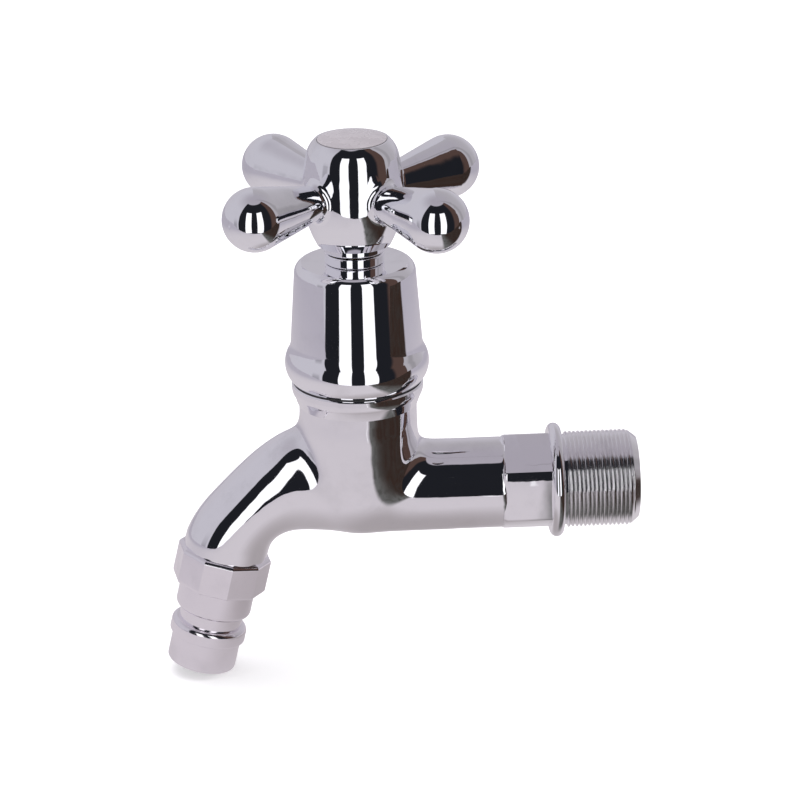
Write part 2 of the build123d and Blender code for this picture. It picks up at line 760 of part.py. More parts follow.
# Cross handle: barrel-shaped hub with four arms, hollow for the bush and the screw
hub_bottom = arm_height - hub_bottom_drop
hub_top = arm_height + hub_top_rise
bowl_radius = hub_radius * sqrt(1 - (hub_bottom_drop / hub_bowl_height) ** 2)
skirt_bottom = lock_nut_top + skirt_gap
bush_top = shoulder_height + bush_height
web_bottom = bush_top + face_gap
web_top = web_bottom + web_thickness
recess_floor = hub_top - cap_recess_depth
with BuildPart() as cross_handle:
    with BuildSketch(barrel_section):
        with BuildLine():
            bowl = TangentArc((hub_radius, arm_height), (bowl_radius, hub_bottom), tangent=(0, -1))
            flank = TangentArc(
                (hub_radius, arm_height),
                (hub_side_radius, arm_height + hub_side_rise),
                tangent=(0, 1),
            )
            crown = TangentArc(flank @ 1, (hub_top_radius, hub_top), tangent=flank % 1)
            Polyline(
                crown @ 1,
                (0, hub_top),
                (0, skirt_bottom),
                (skirt_radius, skirt_bottom),
                (skirt_radius, hub_bottom),
                bowl @ 1,
            )
        make_face()
    revolve(axis=barrel_axis)
    fillet(rims(cross_handle, skirt_radius).sort_by(Axis.Z)[0], skirt_edge)
    with Locations((barrel_x, 0, arm_height)):
        with PolarLocations(0, arm_count, start_angle=arm_turn):
            add(handle_arm.part)
    arm_seams = cross_handle.edges(Select.NEW).filter_by(GeomType.BSPLINE)
    fillet(arm_seams, handle_fillet)
    with BuildSketch(barrel_level(skirt_bottom)):
        Circle(bush_radius + bush_clearance)
    extrude(amount=web_bottom - skirt_bottom, mode=Mode.SUBTRACT)
    with BuildSketch(barrel_level(web_bottom)):
        Circle(screw_radius + web_hole_clearance)
    extrude(amount=web_thickness, mode=Mode.SUBTRACT)
    with BuildSketch(barrel_level(web_top)):
        Circle(cap_plug_radius + cap_clearance)
    extrude(amount=recess_floor - web_top, mode=Mode.SUBTRACT)
    with BuildSketch(barrel_level(recess_floor)):
        Circle(cap_recess_radius)
    extrude(amount=cap_recess_depth, mode=Mode.SUBTRACT)
save(cross_handle, "cross_handle")

# Brass bush between the spindle's square and the hub
with BuildPart() as handle_bush:
    with BuildSketch(barrel_level(shoulder_height)):
        Circle(bush_radius)
        Rectangle(
            spindle_square + 2 * square_clearance,
            spindle_square + 2 * square_clearance,
            mode=Mode.SUBTRACT,
        )
    extrude(amount=bush_height)
save(handle_bush, "handle_bush")

# Spring washer and slotted screw that hold the handle on
with BuildPart() as screw_washer:
    with BuildSketch(barrel_level(web_top)):
        Circle(screw_washer_radius)
        Circle(screw_radius + web_hole_clearance, mode=Mode.SUBTRACT)
    extrude(amount=screw_washer_thickness)
save(screw_washer, "screw_washer")

head_bottom = web_top + screw_washer_thickness
with BuildPart() as handle_screw:
    with BuildSketch(barrel_level(head_bottom)):
        Circle(screw_head_radius)
    extrude(amount=screw_head_height)
    fillet(rims(handle_screw, screw_head_radius).sort_by(Axis.Z)[-1], screw_head_rounding)
    with BuildSketch(barrel_level(head_bottom)):
        Circle(screw_radius)
    extrude(amount=-screw_length)
    with BuildSketch(barrel_level(head_bottom + screw_head_height)):
        Rectangle(2 * screw_head_radius, screw_slot_width)
    extrude(amount=-screw_slot_depth, mode=Mode.SUBTRACT)
save(handle_screw, "handle_screw")

# Index cap: a low dome with a hollow plug that presses into the hub
cap_bottom = recess_floor + face_gap
cap_radius = cap_recess_radius - cap_clearance
dome_middle_share = (0.6, 0.67)
with BuildPart() as index_cap:
    with BuildSketch(barrel_section):
        with BuildLine():
            dome = ThreePointArc(
                (0, hub_top + cap_dome),
                (cap_radius * dome_middle_share[0], hub_top + cap_dome * dome_middle_share[1]),
                (cap_radius, hub_top + cap_edge_rise),
            )
            Polyline(
                dome @ 1,
                (cap_radius, cap_bottom),
                (cap_plug_radius, cap_bottom),
                (cap_plug_radius, cap_bottom - cap_plug_length),
                (cap_plug_radius - cap_plug_wall, cap_bottom - cap_plug_length),
                (cap_plug_radius - cap_plug_wall, cap_bottom),
                (0, cap_bottom),
                dome @ 0,
            )
        make_face()
    revolve(axis=barrel_axis)
save(index_cap, "index_cap")

# Coupling nut: a ten-sided ring with an inner lip that traps the hose tail's flange
lip_start = nut_height - nut_lip
with BuildPart() as nozzle_nut:
    with BuildSketch(nozzle_station(face_gap)):
        RegularPolygon(nut_flats / 2, nut_facets, major_radius=False, rotation=nut_turn)
    extrude(amount=nut_height - face_gap)
    for face in (nozzle_nut.faces().sort_by(nozzle_axis)[0], nozzle_nut.faces().sort_by(nozzle_axis)[-1]):
        fillet(face.edges(), nut_edge)
    with BuildSketch(nozzle_station(0)):
        Circle(spigot_radius + nut_clearance)
    extrude(amount=lip_start, mode=Mode.SUBTRACT)
    with BuildSketch(nozzle_station(lip_start)):
        Circle(tail_step_radius + nut_clearance)
    extrude(amount=nut_lip + overrun, mode=Mode.SUBTRACT)
save(nozzle_nut, "nozzle_nut")

# Flat rubber washer between the spout's end and the hose tail
tail_washer_start = spigot_length + face_gap
flange_start = tail_washer_start + tail_washer_thickness
flange_end = lip_start - face_gap
with BuildPart() as nozzle_washer:
    with BuildSketch(nozzle_station(tail_washer_start)):
        Circle(tail_flange_radius)
        Circle(tail_bore_radius, mode=Mode.SUBTRACT)
    extrude(amount=tail_washer_thickness)
save(nozzle_washer, "nozzle_washer")

# Hose tail: flange, step, neck, rounded ring and plain end
with BuildPart() as hose_tail:
    with BuildSketch(nozzle_section):
        with BuildLine():
            Polyline(
                (tail_bore_radius, flange_start),
                (tail_flange_radius, flange_start),
                (tail_flange_radius, flange_end),
                (tail_step_radius, flange_end),
                (tail_step_radius, tail_step_end),
                (tail_neck_radius, tail_step_end),
                (tail_neck_radius, tail_neck_end),
                (tail_ring_radius, tail_neck_end),
                (tail_ring_radius, tail_ring_end),
                (tail_end_radius, tail_ring_end),
                (tail_end_radius, tail_end),
                (tail_bore_radius, tail_end),
                close=True,
            )
        make_face()
    revolve(axis=nozzle_axis)
    fillet(rims(hose_tail, tail_step_radius).sort_by(nozzle_axis)[-1], tail_step_rounding)
    fillet(rims(hose_tail, tail_ring_radius).sort_by(nozzle_axis)[0], tail_ring_rounding)
    fillet(rims(hose_tail, tail_ring_radius).sort_by(nozzle_axis)[-1], tail_ring_foot)
    fillet(rims(hose_tail, tail_end_radius).sort_by(nozzle_axis)[-1], tail_end_rounding)
save(hose_tail, "hose_tail")
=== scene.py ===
# %% [markdown]
# # Wall tap with a cross handle and a hose tail
# The object is a screw-down tap that screws into a wall. A chromed brass casting holds the inlet tube,
# the barrel and the bent spout. A bell-shaped cover hides the headwork, and a cross handle turns the
# spindle. The solids come in with the frame, in metres, and every piece below stays where they are.

# %% Load the solids
from math import cos, pi, radians, sin

import bmesh
import bpy
from mathutils import Matrix, Vector


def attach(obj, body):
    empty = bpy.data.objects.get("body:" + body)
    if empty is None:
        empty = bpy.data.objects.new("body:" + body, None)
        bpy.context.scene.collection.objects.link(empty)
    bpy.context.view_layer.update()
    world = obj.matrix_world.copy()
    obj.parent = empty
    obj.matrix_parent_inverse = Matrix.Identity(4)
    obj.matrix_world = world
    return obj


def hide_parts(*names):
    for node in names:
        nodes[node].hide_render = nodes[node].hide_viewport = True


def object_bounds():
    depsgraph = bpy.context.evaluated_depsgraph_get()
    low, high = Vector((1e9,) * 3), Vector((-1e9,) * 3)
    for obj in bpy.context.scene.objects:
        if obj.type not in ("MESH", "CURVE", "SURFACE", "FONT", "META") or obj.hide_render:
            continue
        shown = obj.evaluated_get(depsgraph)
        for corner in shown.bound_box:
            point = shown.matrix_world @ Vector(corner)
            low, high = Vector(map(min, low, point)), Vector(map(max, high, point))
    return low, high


mm_per_metre = 1000

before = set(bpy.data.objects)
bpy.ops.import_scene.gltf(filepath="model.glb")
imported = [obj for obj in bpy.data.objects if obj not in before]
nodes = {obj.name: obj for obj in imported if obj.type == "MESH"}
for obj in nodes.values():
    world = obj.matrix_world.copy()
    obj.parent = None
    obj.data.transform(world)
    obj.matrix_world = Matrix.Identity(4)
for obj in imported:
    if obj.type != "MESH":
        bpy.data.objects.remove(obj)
solid_box = [list(corner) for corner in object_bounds()]
size_mm = [round((high - low) * mm_per_metre, 1) for low, high in zip(*solid_box)]
print("object size in mm:", size_mm)

# %% [markdown]
# ## Node helpers
# A material in Blender is a tree of nodes. Written out in full, each node takes several lines, so a few
# helpers keep every finish short enough to read. One adds a node and sets its inputs, one joins two
# sockets, and one does arithmetic on values that change over the surface.

# %% Add, join and calculate


def add_node(tree, kind, values=None, **settings):
    """Add a node, set its properties and its unlinked inputs."""
    node = tree.nodes.new(kind)
    for key, value in settings.items():
        setattr(node, key, value)
    for key, value in (values or {}).items():
        node.inputs[key].default_value = value
    return node


def link(tree, source, target):
    """Join an output socket to an input socket."""
    tree.links.new(source, target)


def maths(tree, operation, *values, clamp=False):
    """A Math node on sockets or plain numbers; returns its output."""
    node = add_node(tree, "ShaderNodeMath", operation=operation, use_clamp=clamp)
    for index, value in enumerate(values):
        if isinstance(value, (int, float)):
            node.inputs[index].default_value = value
        else:
            link(tree, value, node.inputs[index])
    return node.outputs[0]


# %% [markdown]
# ## Masks and colours
# A mask is a value between 0 and 1 that says where an effect lies. It can be painted by hand, but a mask
# that is worked out from the place stays sharp at any distance and needs no picture. A noise texture
# gives it its pattern, a soft step cuts it to size, and a window keeps one stretch of it. Every finish
# then starts from the same two nodes, a Principled shader and the output.

# %% Masks from noise and steps


def noise(tree, vector, scale, detail=3.0, roughness=0.5):
    """Noise texture on a vector; returns its value output."""
    node = add_node(tree, "ShaderNodeTexNoise", {"Scale": scale, "Detail": detail, "Roughness": roughness})
    link(tree, vector, node.inputs["Vector"])
    return node.outputs[0]


def smooth_step(tree, value, low, high):
    """0 below low, 1 above high, with a soft rise between them."""
    limits = {"From Min": low, "From Max": high}
    node = add_node(tree, "ShaderNodeMapRange", limits, interpolation_type="SMOOTHSTEP", clamp=True)
    link(tree, value, node.inputs["Value"])
    return node.outputs["Result"]


def window(tree, value, low, high, soft):
    """1 between low and high, falling to 0 over the given softness at both ends."""
    rise = smooth_step(tree, value, low - soft, low + soft)
    drop = smooth_step(tree, value, high - soft, high + soft)
    return maths(tree, "SUBTRACT", rise, drop, clamp=True)


# %% Blend two colours


def mix_colour(tree, share, first, second):
    """Blend two colours, each a socket or a plain colour, by a mask."""
    node = add_node(tree, "ShaderNodeMix", data_type="RGBA")
    link(tree, share, node.inputs["Factor"])
    for name, value in (("A", first), ("B", second)):
        socket = [s for s in node.inputs if s.name == name and s.type == "RGBA"][0]
        if isinstance(value, tuple):
            socket.default_value = (*value, 1.0)
        else:
            link(tree, value, socket)
    return [s for s in node.outputs if s.type == "RGBA"][0]


# %% Start a material


def new_material(name):
    """An empty node material with its output and a Principled shader."""
    material = bpy.data.materials.new(name)
    material.use_nodes = True
    tree = material.node_tree
    tree.nodes.clear()
    output = add_node(tree, "ShaderNodeOutputMaterial")
    shader = add_node(tree, "ShaderNodeBsdfPrincipled")
    link(tree, shader.outputs[0], output.inputs["Surface"])
    return material, tree, shader


# %% [markdown]
# ## Shared surface effect
# Polished plating is never a perfect mirror. Buffing leaves a faint waviness a few millimetres long,
# hairline marks, and a thin haze of dried water. Each could be built again in every finish, but one node
# group gives all three as masks and a height, and each plated piece takes them at its own strength.

# %% Polish with haze, hairlines and waves


def polish_group():
    """Group of the plated finish: haze mask, hairline mask and height of the waviness."""
    group = bpy.data.node_groups.new("plated_polish", "ShaderNodeTree")
    group.interface.new_socket("Vector", in_out="INPUT", socket_type="NodeSocketVector")
    for name in ("Haze", "Hairlines", "Wave"):
        group.interface.new_socket(name, in_out="OUTPUT", socket_type="NodeSocketFloat")
    enter = add_node(group, "NodeGroupInput")
    leave = add_node(group, "NodeGroupOutput")
    vector = enter.outputs["Vector"]
    haze = noise(group, vector, scale=95.0, detail=5.0, roughness=0.62)
    link(group, smooth_step(group, haze, low=0.48, high=0.78), leave.inputs["Haze"])
    long_marks = {"Scale": (900.0, 60.0, 900.0), "Rotation": (0.4, 0.2, 0.9)}
    stretch = add_node(group, "ShaderNodeMapping", long_marks)
    link(group, vector, stretch.inputs["Vector"])
    hairs = noise(group, stretch.outputs[0], scale=3.0, detail=3.0, roughness=0.7)
    link(group, smooth_step(group, hairs, low=0.66, high=0.74), leave.inputs["Hairlines"])
    wave = noise(group, vector, scale=230.0, detail=1.5, roughness=0.4)
    link(group, wave, leave.inputs["Wave"])
    return group


polish = polish_group()
print("group outputs:", [item.name for item in polish.interface.items_tree if item.in_out == "OUTPUT"])

# %% [markdown]
# ## Chrome plating
# Bright nickel and chrome lie over polished brass: nearly neutral, a touch cool, and very smooth. A
# metal needs no colour texture, because what it shows is its surroundings. So the finish only sets a
# tint and how sharp the reflection is, and the roughness rises a little where haze and hairlines lie.

# %% Chrome
hairline_share = 0.8
dull_share = 0.90


def chrome(name, tint, smooth, haze_gain, wave_height):
    """Plated finish with haze, hairlines and waviness."""
    material, tree, shader = new_material(name)
    place = add_node(tree, "ShaderNodeTexCoord")
    effect = add_node(tree, "ShaderNodeGroup", node_tree=polish)
    link(tree, place.outputs["Object"], effect.inputs["Vector"])
    rough = maths(tree, "MULTIPLY", effect.outputs["Haze"], haze_gain)
    rough = maths(tree, "ADD", rough, smooth)
    hair = maths(tree, "MULTIPLY", effect.outputs["Hairlines"], haze_gain * hairline_share)
    rough = maths(tree, "ADD", rough, hair)
    dull = tuple(part * dull_share for part in tint)
    colour = mix_colour(tree, effect.outputs["Haze"], tint, dull)
    bump = add_node(tree, "ShaderNodeBump", {"Strength": 1.0, "Distance": wave_height})
    link(tree, effect.outputs["Wave"], bump.inputs["Height"])
    link(tree, rough, shader.inputs["Roughness"])
    link(tree, colour, shader.inputs["Base Color"])
    link(tree, bump.outputs[0], shader.inputs["Normal"])
    shader.inputs["Metallic"].default_value = 1.0
    return material


# %% [markdown]
# The plated pieces weren't polished alike. The handle is a little wavy, the cover is the truest, and the
# nut and the hose tail look satin. The pipe thread is cut after polishing, so it is plated but dull.

# %% Plated finishes
casting_chrome = chrome(
    "chrome_casting_finish", tint=(0.93, 0.92, 0.95), smooth=0.030, haze_gain=0.05, wave_height=0.00004
)
thread_chrome = chrome(
    "chrome_thread_finish", tint=(0.95, 0.94, 0.955), smooth=0.140, haze_gain=0.08, wave_height=0.00001
)
cover_chrome = chrome(
    "chrome_cover_finish", tint=(0.93, 0.925, 0.955), smooth=0.022, haze_gain=0.04, wave_height=0.00001
)
handle_chrome = chrome(
    "chrome_handle_finish", tint=(0.92, 0.92, 0.95), smooth=0.030, haze_gain=0.05, wave_height=0.00007
)
nozzle_chrome = chrome(
    "chrome_nozzle_finish", tint=(0.92, 0.89, 0.93), smooth=0.110, haze_gain=0.10, wave_height=0.00002
)
print("plated finishes:", sum(material.name.startswith("chrome") for material in bpy.data.materials))

# %% [markdown]
# ## Brass and steel
# These pieces sit inside the tap, and only the spindle shows when the tap is open. The brass is turned
# and left bare, and the screw is zinc plated. The tool leaves fine rings, which are too small to model,
# so a wave texture along the barrel's axis gives them as a bump, and noise adds patches of tarnish.

# %% Turned metal
ring_height = 0.00002
tarnish_roughness = 0.18


def turned_metal(name, bright, dark, smooth, ring_scale):
    """Bare turned metal: rings round the barrel axis, with tarnish in patches."""
    material, tree, shader = new_material(name)
    place = add_node(tree, "ShaderNodeTexCoord")
    tool_marks = {"Scale": ring_scale, "Distortion": 0.6, "Detail": 2.0}
    rings = add_node(tree, "ShaderNodeTexWave", tool_marks, bands_direction="Z")
    link(tree, place.outputs["Object"], rings.inputs["Vector"])
    tarnish = noise(tree, place.outputs["Object"], scale=160.0, detail=4.0)
    colour = mix_colour(tree, smooth_step(tree, tarnish, low=0.42, high=0.66), bright, dark)
    link(tree, colour, shader.inputs["Base Color"])
    rough = maths(tree, "MULTIPLY_ADD", tarnish, tarnish_roughness, smooth)
    link(tree, rough, shader.inputs["Roughness"])
    bump = add_node(tree, "ShaderNodeBump", {"Strength": 0.6, "Distance": ring_height})
    link(tree, rings.outputs["Color"], bump.inputs["Height"])
    link(tree, bump.outputs[0], shader.inputs["Normal"])
    shader.inputs["Metallic"].default_value = 1.0
    return material


brass = turned_metal(
    "turned_brass_finish", bright=(0.78, 0.58, 0.27), dark=(0.52, 0.36, 0.15), smooth=0.18, ring_scale=900.0
)
zinc = turned_metal(
    "zinc_steel_finish", bright=(0.70, 0.71, 0.74), dark=(0.50, 0.51, 0.55), smooth=0.22, ring_scale=1100.0
)
print("bare metals:", brass.name, zinc.name)

# %% [markdown]
# ## Rubber, fibre, packing and plastic
# The seals are moulded rubber with a dusty bloom, the fibre washer and the packing have a pressed,
# speckled body, and the cap on the hub is smooth plastic. All four are a body colour with a lighter
# bloom and a fine grain, so one function makes them, and each differs only in its values.

# %% Moulded materials
grain_roughness = 0.15


def moulded(name, base, bloom, smooth, grain_scale, grain_height, coat=0.0):
    """Rubber, fibre, packing or plastic: a body colour with a lighter bloom and a fine grain."""
    material, tree, shader = new_material(name)
    place = add_node(tree, "ShaderNodeTexCoord")
    grain = noise(tree, place.outputs["Object"], grain_scale, detail=4.0, roughness=0.6)
    colour = mix_colour(tree, smooth_step(tree, grain, low=0.35, high=0.75), base, bloom)
    link(tree, colour, shader.inputs["Base Color"])
    rough = maths(tree, "MULTIPLY_ADD", grain, grain_roughness, smooth)
    link(tree, rough, shader.inputs["Roughness"])
    bump = add_node(tree, "ShaderNodeBump", {"Strength": 0.5, "Distance": grain_height})
    link(tree, grain, bump.inputs["Height"])
    link(tree, bump.outputs[0], shader.inputs["Normal"])
    shader.inputs["Coat Weight"].default_value = coat
    return material


rubber = moulded(
    "black_rubber_finish",
    base=(0.012, 0.012, 0.014),
    bloom=(0.035, 0.034, 0.036),
    smooth=0.50,
    grain_scale=900.0,
    grain_height=0.00002,
)
fibre = moulded(
    "red_fibre_finish",
    base=(0.28, 0.07, 0.045),
    bloom=(0.40, 0.14, 0.10),
    smooth=0.62,
    grain_scale=1500.0,
    grain_height=0.00003,
)
packing = moulded(
    "white_packing_finish",
    base=(0.74, 0.73, 0.69),
    bloom=(0.84, 0.83, 0.80),
    smooth=0.45,
    grain_scale=1200.0,
    grain_height=0.00002,
)
index_plastic = moulded(
    "index_plastic_finish",
    base=(0.47, 0.435, 0.46),
    bloom=(0.54, 0.505, 0.53),
    smooth=0.20,
    grain_scale=260.0,
    grain_height=0.000004,
    coat=0.3,
)
print("finishes so far:", len(bpy.data.materials))

# %% [markdown]
# ## Finish of each solid
# Each solid gets the finish of what it is made of. A list by name keeps that choice in one place, and
# the casting's solid has one too, although a piece below stands in for it.

# %% Give the solids their finishes
finishes = {
    "tap_body": casting_chrome,
    "bonnet_cover": cover_chrome,
    "cover_lock_nut": cover_chrome,
    "cross_handle": handle_chrome,
    "nozzle_nut": nozzle_chrome,
    "hose_tail": nozzle_chrome,
    "headwork_body": brass,
    "gland_washer": brass,
    "gland_nut": brass,
    "jumper_valve": brass,
    "washer_nut": brass,
    "spindle": brass,
    "handle_bush": brass,
    "handle_screw": zinc,
    "screw_washer": zinc,
    "stem_ring_seal": rubber,
    "cover_seal_ring": rubber,
    "nozzle_washer": rubber,
    "tap_washer": rubber,
    "headwork_washer": fibre,
    "gland_packing": packing,
    "index_cap": index_plastic,
}
for name, material in finishes.items():
    target = nodes[name]
    if not target.material_slots:
        target.data.materials.append(material)
    for slot in target.material_slots:
        slot.material = material
print("nodes with a finish:", len(finishes), "of", len(nodes))

# %% [markdown]
# ## Mesh helpers
# The new pieces are made with bmesh operators in metres, at the place where they stay. One helper turns
# a bmesh into an object that rides on its body. Smooth shading with a sharp-edge angle keeps real
# corners crisp while round surfaces stay round.

# %% Turn a bmesh into a piece
merge_distance = 0.000002


def add_piece(shape, name, body, material, sharp_angle):
    """Turn a bmesh into a smooth-shaded object with one material, riding on a body."""
    bmesh.ops.remove_doubles(shape, verts=shape.verts, dist=merge_distance)
    bmesh.ops.recalc_face_normals(shape, faces=shape.faces)
    limit = radians(sharp_angle)
    for face in shape.faces:
        face.smooth = True
    for edge in shape.edges:
        edge.smooth = len(edge.link_faces) == 2 and edge.calc_face_angle(0.0) < limit
    mesh = bpy.data.meshes.new(name)
    shape.to_mesh(mesh)
    shape.free()
    piece = bpy.data.objects.new(name, mesh)
    bpy.context.scene.collection.objects.link(piece)
    mesh.materials.append(material)
    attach(piece, body)
    print(name, "faces:", len(mesh.polygons))
    return piece


# %% [markdown]
# Most of a tap is turned on a lathe, so most of its forms are an outline that goes round an axis. The
# spin operator does the same. An arc helper draws the round stretches of such an outline.

# %% Spin an outline round an axis
axis_x = -0.0438
barrel_line = Vector((axis_x, 0.0, 0.0))
inlet_line = Vector((0.0, 0.0, 0.0))
up = Vector((0.0, 0.0, 1.0))
outward = Vector((1.0, 0.0, 0.0))


def spin_outline(shape, outline, centre, axis, steps):
    """Spin a closed outline, given as points, a full turn about an axis."""
    corners = [shape.verts.new(point) for point in outline]
    edges = [shape.edges.new(pair) for pair in zip(corners, corners[1:] + corners[:1])]
    bmesh.ops.spin(
        shape,
        geom=corners + edges,
        cent=centre,
        axis=axis,
        dvec=(0.0, 0.0, 0.0),
        angle=2 * pi,
        steps=steps,
        use_merge=True,
    )


def arc_points(centre, radius, start, end, count):
    """Points of an arc in a plane, from one angle to another in degrees."""
    angles = [radians(start + (end - start) * step / count) for step in range(count + 1)]
    return [(centre[0] + radius * cos(angle), centre[1] + radius * sin(angle)) for angle in angles]


print("barrel axis at x =", axis_x)

# %% [markdown]
# ## Casting: barrel, tube and spout as one flowing skin
# A sand casting has no sharp inner corners: barrel, inlet tube and spout flow into each other, and the
# plating shows every such blend as a bent reflection. A bevel on the line where they cross would break
# on its changing angle. So the three forms are made as separate closed meshes, and a voxel remesh joins
# them. The sizes are those of the solids, so the skin lies where the casting's solid does.

# %% Sizes of the casting
barrel_radius = 0.01265
foot_height = 0.00265
wall_top = 0.0226
tube_radius = 0.00985
tube_end = -0.0125
spout_radius = 0.00915
root_radius = 0.0096
root_top = 0.0141
shoulder_share = 0.5
shoulder_height = 0.0019
shoulder_half_height = 0.0110
shoulder_half_width = 0.00938
bend_reach = 0.0146
bend_drop = 0.0143
bend_radius = 0.0148
nozzle_tilt = radians(13.5)
elbow_waist = 0.0019
root_fade = 0.7
spout_straight = 0.0024
spigot_reach = 0.0040
print("casting from x =", axis_x - bend_reach - bend_radius, "to", tube_end)

# %% [markdown]
# The spout isn't a plain bent pipe. It is tall where it leaves the barrel, narrows in the elbow and ends
# round. A curve with a round profile can't do that, so the spout is a row of ellipses, each with its own
# height and place, and the bridge operator spans a skin between them.

# %% Rings of the spout
ring_points = 144
bend_steps = 36


def ring(shape, centre, across, high, wide):
    """Ellipse of edges about a centre: half height along one direction, half width along Y."""
    corners = []
    for step in range(ring_points):
        turn = 2 * pi * step / ring_points
        spot = centre + across * (high * cos(turn)) + Vector((0.0, wide * sin(turn), 0.0))
        corners.append(shape.verts.new(spot))
    return [shape.edges.new(pair) for pair in zip(corners, corners[1:] + corners[:1])]


def root_rings(shape):
    """The two upright rings where the spout leaves the barrel."""
    shoulder = Vector((axis_x - bend_reach * shoulder_share, 0.0, shoulder_height))
    return [
        ring(shape, barrel_line, up, root_radius, root_radius),
        ring(shape, shoulder, up, shoulder_half_height, shoulder_half_width),
    ]


def bend_rings(shape, bend):
    """Rings round the bend, which lose the root's extra height and narrow in the elbow."""
    low = bend_radius - spout_radius
    high_end = bend_radius + spout_radius
    extra = root_top + bend_drop - high_end
    rings = []
    for step in range(bend_steps + 1):
        share = step / bend_steps
        turn = (pi / 2 - nozzle_tilt) * share
        out = Vector((-sin(turn), 0.0, cos(turn)))
        fade = max(0.0, 1 - share / root_fade) ** 2
        high = high_end + extra * fade - elbow_waist * sin(pi * share)
        rings.append(ring(shape, bend + out * (low + high) / 2, out, (high - low) / 2, spout_radius))
    return rings


def spout_skin(shape):
    """Closed skin of the spout, from inside the barrel down to the spigot."""
    bend = Vector((axis_x - bend_reach, 0.0, -bend_drop))
    rings = root_rings(shape) + bend_rings(shape, bend)
    down = Vector((-sin(nozzle_tilt), 0.0, -cos(nozzle_tilt)))
    out = Vector((-cos(nozzle_tilt), 0.0, sin(nozzle_tilt)))
    for reach in (spout_straight, spout_straight + spigot_reach):
        rings.append(ring(shape, bend + out * bend_radius + down * reach, out, spout_radius, spout_radius))
    for first, second in zip(rings, rings[1:]):
        bmesh.ops.bridge_loops(shape, edges=first + second)
    bmesh.ops.holes_fill(shape, edges=rings[0] + rings[-1], sides=0)
    print("spout rings:", len(rings))


# %% [markdown]
# The barrel ends below in a quarter round, and the tube is a plain cylinder that starts inside it. Both
# are closed, since the remesh needs to know what is inside.

# %% Barrel and tube
foot_steps = 40
barrel_steps = 200
tube_segments = 180


def barrel_skin(shape):
    """Closed barrel with a quarter-round foot."""
    foot = arc_points((0.0, foot_height), barrel_radius, -90, 0, foot_steps)
    outline = [(axis_x + x, 0.0, z) for x, z in foot]
    outline += [(axis_x + barrel_radius, 0.0, wall_top), (axis_x, 0.0, wall_top)]
    spin_outline(shape, outline, barrel_line, up, barrel_steps)


def tube_skin(shape):
    """Closed inlet tube, from the barrel's axis to inside the hexagon."""
    middle = Matrix.Translation(((tube_end + axis_x) / 2, 0, 0))
    bmesh.ops.create_cone(
        shape,
        cap_ends=True,
        segments=tube_segments,
        radius1=tube_radius,
        radius2=tube_radius,
        depth=tube_end - axis_x,
        matrix=middle @ Matrix.Rotation(pi / 2, 4, "Y"),
    )


# %% [markdown]
# After the remesh the joints are still creases. A Smooth modifier rounds them off, but it also shrinks
# what it works on. So it works through a vertex group that is full round the barrel's joints and fades
# towards the three ends, which stay true. A slight outward growth makes up for most of the shrinking,
# and a few last passes everywhere take out the small steps that the voxels leave.

# %% Weights round the joints
joint_near = 0.0170
joint_far = 0.0225
joint_low = 0.0145
joint_high = 0.0200


def fall(value, full, none):
    """1 up to one value, 0 past another, with a smooth run between them."""
    share = min(1.0, max(0.0, (none - value) / (none - full)))
    return share * share * (3 - 2 * share)


def weigh_joints(piece):
    """Vertex group that is full at the joints round the barrel and fades towards the three ends."""
    group = piece.vertex_groups.new(name="joints")
    for vertex in piece.data.vertices:
        reach = abs(vertex.co.x - axis_x)
        weight = fall(reach, joint_near, joint_far) * fall(vertex.co.z, joint_low, joint_high)
        if weight > 0:
            group.add([vertex.index], weight, "REPLACE")


# %% Smooth, grow and bake
joint_passes = 360
joint_growth = 0.00020
polish_passes = 14


def soften(piece, name, passes, group):
    """Smooth modifier of a number of passes, everywhere or by a vertex group."""
    smooth = piece.modifiers.new(name, "SMOOTH")
    smooth.factor = 0.5
    smooth.iterations = passes
    smooth.vertex_group = group


def grow(piece, distance, group):
    """Displace modifier that moves the skin outwards by a vertex group."""
    swell = piece.modifiers.new("growth", "DISPLACE")
    swell.direction = "NORMAL"
    swell.mid_level = 0.0
    swell.strength = distance
    swell.vertex_group = group


def bake_modifiers(piece):
    """Replace a piece's mesh by the result of its modifiers."""
    graph = bpy.context.evaluated_depsgraph_get()
    shaped = piece.evaluated_get(graph)
    result = bpy.data.meshes.new_from_object(shaped, preserve_all_data_layers=True, depsgraph=graph)
    piece.modifiers.clear()
    piece.data = result
    print(piece.name, "after its modifiers:", len(result.polygons))


# %% [markdown]
# Now the three skins become one. The voxel size is the finest form that survives the remesh, so it is
# far below the radius of the blends, and still coarse enough to keep the mesh under 200,000 triangles.

# %% Cast the body
voxel = 0.00036


def cast_body():
    """Blended casting: remeshed union of barrel, tube and spout, smoothed round the joints."""
    shape = bmesh.new()
    barrel_skin(shape)
    tube_skin(shape)
    spout_skin(shape)
    piece = add_piece(shape, "cast_body", "tap", casting_chrome, sharp_angle=60.0)
    remesh = piece.modifiers.new("joined", "REMESH")
    remesh.mode = "VOXEL"
    remesh.voxel_size = voxel
    remesh.use_smooth_shade = True
    bake_modifiers(piece)
    weigh_joints(piece)
    soften(piece, "joints", joint_passes, "joints")
    grow(piece, joint_growth, "joints")
    soften(piece, "polish", polish_passes, "")
    bake_modifiers(piece)
    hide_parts("tap_body")


cast_body()

# %% [markdown]
# ## Casting: rim of the barrel
# The cover stands on a rim that flares out of the barrel over a small step. It is turned, so its edges
# are true, and it is kept apart from the blended skin, whose smoothing would round them.

# %% Barrel rim
neck_height = 0.0202
rim_radius = 0.0141
rim_top = 0.0250
rim_edge = 0.0003
rim_lift = 0.0002
rim_foot_radius = 0.01255
rim_step_radius = 0.0129
flare_middle = 0.0113
flare_height = 0.0236
flare_radius = 0.0029
flare_start = -38
flare_steps = 12
mouth_radius = 0.0103
mouth_floor = 0.0190
rim_steps = 180


